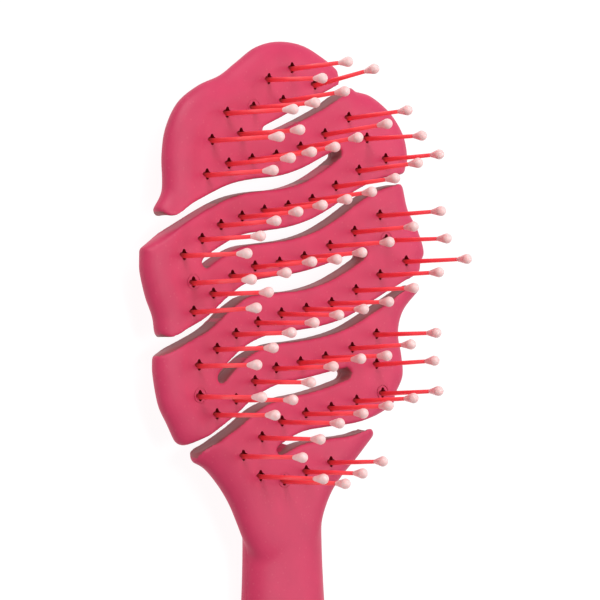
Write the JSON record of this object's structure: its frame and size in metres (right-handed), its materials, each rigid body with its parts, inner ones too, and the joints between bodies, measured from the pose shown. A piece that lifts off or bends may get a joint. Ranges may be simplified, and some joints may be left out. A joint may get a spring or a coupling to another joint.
{
  "type": "vented hair brush",
  "caption": "Vented detangling hair brush with a slotted serpentine head, slim ball-tipped pins and a rounded handle.",
  "frame": {"origin": "centre of the bounding box in plan, on the surface that the back of the grip lies on", "axes": "+Y from the handle to the tip of the head, +Z along the pins, +X to the right of the face"},
  "size_m": [0.0884, 0.2221, 0.0348],
  "materials": {
    "shell": "satin pink plant-fibre plastic with fine specks",
    "carrier": "flexible dark red plastic, satin",
    "pin": "slightly translucent red nylon",
    "ball": "pale pink pearly coating"
  },
  "bodies": {
    "root": {"front_shell": "shell", "back_cover": "shell", "carrier_tip_lobe": "carrier", "carrier_band_1": "carrier", "carrier_band_2": "carrier", "carrier_band_3": "carrier", "carrier_band_4": "carrier", "carrier_band_5": "carrier", "carrier_band_6": "carrier", "carrier_neck": "carrier", "pins_tip_lobe": "pin", "pins_band_1": "pin", "pins_band_2": "pin", "pins_band_3": "pin", "pins_band_4": "pin", "pins_band_5": "pin", "pins_band_6": "pin", "pins_neck": "pin", "balls_tip_lobe": "ball", "balls_band_1": "ball", "balls_band_2": "ball", "balls_band_3": "ball", "balls_band_4": "ball", "balls_band_5": "ball", "balls_band_6": "ball", "balls_neck": "ball"}
  },
  "joints": []
}
